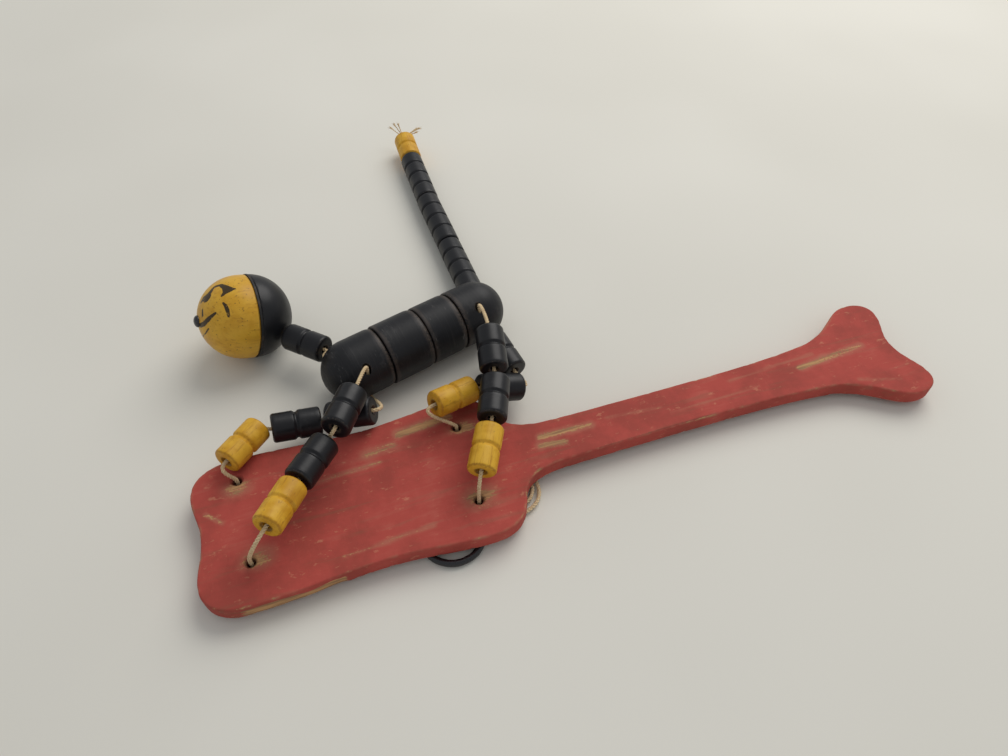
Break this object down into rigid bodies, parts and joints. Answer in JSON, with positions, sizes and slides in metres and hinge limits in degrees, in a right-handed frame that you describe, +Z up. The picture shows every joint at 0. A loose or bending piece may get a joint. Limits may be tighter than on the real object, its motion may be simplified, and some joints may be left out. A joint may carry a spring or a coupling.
{
  "type": "string jointed pull toy",
  "caption": "Hand-held string toy: a jointed bead cat strung through a fish-tailed paddle, worked by finger rings below.",
  "frame": {"origin": "on the underside of the paddle, on its long axis, 56.5 mm from its broad end", "axes": "+X along the paddle from its broad end to the tail of its handle, +Z up out of the painted face that carries the feet, +Y towards the side where the cat lies"},
  "size_m": [0.286, 0.2578, 0.0353],
  "materials": {
    "paddle_paint": "worn red paint on wood",
    "black_paint": "satin black paint on turned wood",
    "yellow_paint": "thin yellow stain on turned wood",
    "cord": "waxed twisted cord",
    "ring_enamel": "black enamelled wire",
    "ear_leather": "thin dark disc",
    "nose_enamel": "black enamelled tack"
  },
  "bodies": {
    "handle_paddle": {"paddle": "paddle_paint", "hole_cords": "cord"},
    "front_ring": {"front_pull_ring": "ring_enamel", "front_ring_cord": "cord"},
    "rear_ring": {"rear_pull_ring": "ring_enamel", "rear_ring_cord": "cord"},
    "left_front_foot_bead": {"left_front_foot": "yellow_paint", "left_front_foot_cord": "cord"},
    "left_front_shin_bead": {"left_front_shin": "black_paint", "left_front_shin_cord": "cord"},
    "left_front_thigh_bead": {"left_front_thigh": "black_paint", "left_front_thigh_cord": "cord"},
    "right_front_foot_bead": {"right_front_foot": "yellow_paint", "right_front_foot_cord": "cord"},
    "right_front_shin_bead": {"right_front_shin": "black_paint", "right_front_shin_cord": "cord"},
    "right_front_thigh_bead": {"right_front_thigh": "black_paint", "right_front_thigh_cord": "cord"},
    "left_rear_foot_bead": {"left_rear_foot": "yellow_paint", "left_rear_foot_cord": "cord"},
    "left_rear_shin_bead": {"left_rear_shin": "black_paint", "left_rear_shin_cord": "cord"},
    "left_rear_thigh_bead": {"left_rear_thigh": "black_paint", "left_rear_thigh_cord": "cord"},
    "right_rear_foot_bead": {"right_rear_foot": "yellow_paint", "right_rear_foot_cord": "cord"},
    "right_rear_shin_bead": {"right_rear_shin": "black_paint", "right_rear_shin_cord": "cord"},
    "right_rear_thigh_bead": {"right_rear_thigh": "black_paint", "right_rear_thigh_cord": "cord"},
    "chest_body": {"chest": "black_paint", "chest_cord": "cord", "front_hip_cord": "cord"},
    "front_middle_body": {"front_middle": "black_paint", "front_middle_cord": "cord"},
    "rear_middle_body": {"rear_middle": "black_paint", "rear_middle_cord": "cord"},
    "rump_body": {"rump": "black_paint", "rump_cord": "cord", "rear_hip_cord": "cord"},
    "neck": {"neck_bead": "black_paint", "neck_cord": "cord"},
    "head": {"face_half": "yellow_paint", "back_half": "black_paint", "ear_disc": "ear_leather", "nose_tack": "nose_enamel", "head_cord": "cord"},
    "tail_1": {"tail_bead_1": "black_paint", "tail_cord_1": "black_paint"},
    "tail_2": {"tail_bead_2": "black_paint", "tail_cord_2": "black_paint"},
    "tail_3": {"tail_bead_3": "black_paint", "tail_cord_3": "black_paint"},
    "tail_end": {"tail_tip": "yellow_paint", "tail_tip_cord": "cord", "tail_fray": "cord"}
  },
  "joints": [
    {"name": "left_rear_foot_pivot", "type": "hinge", "parent": "handle_paddle", "child": "left_rear_foot_bead", "pos_m": [0.0391, -0.0154, 0.0068], "axis": [1, 0, 0], "range_deg": [0, 45]},
    {"name": "left_rear_ankle", "type": "hinge", "parent": "left_rear_foot_bead", "child": "left_rear_shin_bead", "pos_m": [0.05056, 0.00538, 0.01982], "axis": [0.866, 0.5, 0], "range_deg": [0, 30]},
    {"name": "left_rear_knee", "type": "hinge", "parent": "left_rear_shin_bead", "child": "left_rear_thigh_bead", "pos_m": [0.05857, 0.02438, 0.0222], "axis": [0.866, 0.5, 0], "range_deg": [0, 30]},
    {"name": "left_rear_hip", "type": "hinge", "parent": "left_rear_thigh_bead", "child": "rump_body", "pos_m": [0.06389, 0.0558, 0.02463], "axis": [0.5, 0.866, 0], "range_deg": [0, 6]},
    {"name": "rear_waist", "type": "hinge", "parent": "rump_body", "child": "rear_middle_body", "pos_m": [0.05448, 0.06768, 0.0224], "axis": [-0.2756, 0.9613, 0], "range_deg": [0, 8]},
    {"name": "middle_waist", "type": "hinge", "parent": "rear_middle_body", "child": "front_middle_body", "pos_m": [0.03938, 0.06335, 0.0224], "axis": [-0.2756, 0.9613, 0], "range_deg": [0, 8]},
    {"name": "front_waist", "type": "hinge", "parent": "front_middle_body", "child": "chest_body", "pos_m": [0.0217, 0.05828, 0.0224], "axis": [-0.2756, 0.9613, 0], "range_deg": [0, 8]},
    {"name": "neck_joint", "type": "hinge", "parent": "chest_body", "child": "neck", "pos_m": [0.00046, 0.0654, 0.01131], "axis": [0.7701, 0.6379, 0], "range_deg": [0, 30]},
    {"name": "head_joint", "type": "hinge", "parent": "neck", "child": "head", "pos_m": [-0.01257, 0.08101, 0.0107], "axis": [-0.5, 0.866, 0], "range_deg": [-10, 20]},
    {"name": "tail_root", "type": "hinge", "parent": "rump_body", "child": "tail_1", "pos_m": [0.06825, 0.08467, 0.00699], "axis": [1, -0.0035, 0], "range_deg": [-10, 30]},
    {"name": "tail_joint_2", "type": "hinge", "parent": "tail_1", "child": "tail_2", "pos_m": [0.06839, 0.12323, 0.00343], "axis": [0.9998, 0.0174, 0], "range_deg": [-7, 3]},
    {"name": "tail_joint_3", "type": "hinge", "parent": "tail_2", "child": "tail_3", "pos_m": [0.06785, 0.15981, 0.00359], "axis": [0.9998, -0.0202, 0], "range_deg": [-7, 3]},
    {"name": "tail_joint_4", "type": "hinge", "parent": "tail_3", "child": "tail_end", "pos_m": [0.06873, 0.19636, 0.00431], "axis": [0.9991, -0.043, 0], "range_deg": [-7, 3]},
    {"name": "left_front_hip", "type": "hinge", "parent": "chest_body", "child": "left_front_thigh_bead", "pos_m": [0.01172, 0.04114, 0.0216], "axis": [0, 1, 0], "range_deg": [0, 40]},
    {"name": "left_front_knee", "type": "hinge", "parent": "left_front_thigh_bead", "child": "left_front_shin_bead", "pos_m": [-0.00454, 0.01732, 0.02106], "axis": [0.5, 0.866, 0], "range_deg": [0, 40]},
    {"name": "left_front_ankle", "type": "hinge", "parent": "left_front_shin_bead", "child": "left_front_foot_bead", "pos_m": [-0.0191, 0.00292, 0.01948], "axis": [0.5, 0.866, 0], "range_deg": [0, 40]},
    {"name": "right_front_hip", "type": "hinge", "parent": "chest_body", "child": "right_front_thigh_bead", "pos_m": [0.01562, 0.03816, 0.00579], "axis": [0.866, 0.5, 0], "range_deg": [0, 10]},
    {"name": "right_front_knee", "type": "hinge", "parent": "right_front_thigh_bead", "child": "right_front_shin_bead", "pos_m": [-0.00539, 0.03574, 0.0081], "axis": [-0.866, 0.5, 0], "range_deg": [0, 20]},
    {"name": "right_front_ankle", "type": "hinge", "parent": "right_front_shin_bead", "child": "right_front_foot_bead", "pos_m": [-0.02759, 0.03629, 0.01125], "axis": [-0.866, 0.5, 0], "range_deg": [0, 40]},
    {"name": "right_rear_hip", "type": "hinge", "parent": "rump_body", "child": "right_rear_thigh_bead", "pos_m": [0.06568, 0.05801, 0.0049], "axis": [0.5, 0.866, 0], "range_deg": [0, 12]},
    {"name": "right_rear_knee", "type": "hinge", "parent": "right_rear_thigh_bead", "child": "right_rear_shin_bead", "pos_m": [0.07246, 0.02978, 0.00667], "axis": [-1, 0, 0], "range_deg": [0, 4]},
    {"name": "right_rear_ankle", "type": "hinge", "parent": "right_rear_shin_bead", "child": "right_rear_foot_bead", "pos_m": [0.05166, 0.02788, 0.01289], "axis": [-0.866, 0.5, 0], "range_deg": [0, 40]},
    {"name": "front_ring_pull", "type": "slide", "parent": "handle_paddle", "child": "front_ring", "axis": [0, 0, -1], "range_m": [0, 0.03]},
    {"name": "rear_ring_pull", "type": "slide", "parent": "handle_paddle", "child": "rear_ring", "axis": [0, 0, -1], "range_m": [0, 0.03]}
  ],
  "couplings": [
    {"joint": "left_rear_ankle", "follows": "left_rear_foot_pivot", "ratio": 0.5},
    {"joint": "left_rear_knee", "follows": "left_rear_foot_pivot", "ratio": 0.5},
    {"joint": "rear_ring_pull", "follows": "left_rear_foot_pivot", "m_per_rad": 0.035},
    {"joint": "front_ring_pull", "follows": "left_front_hip", "m_per_rad": 0.04},
    {"joint": "left_front_knee", "follows": "left_front_hip", "ratio": 0.8},
    {"joint": "left_front_ankle", "follows": "left_front_hip", "ratio": 0.8}
  ]
}
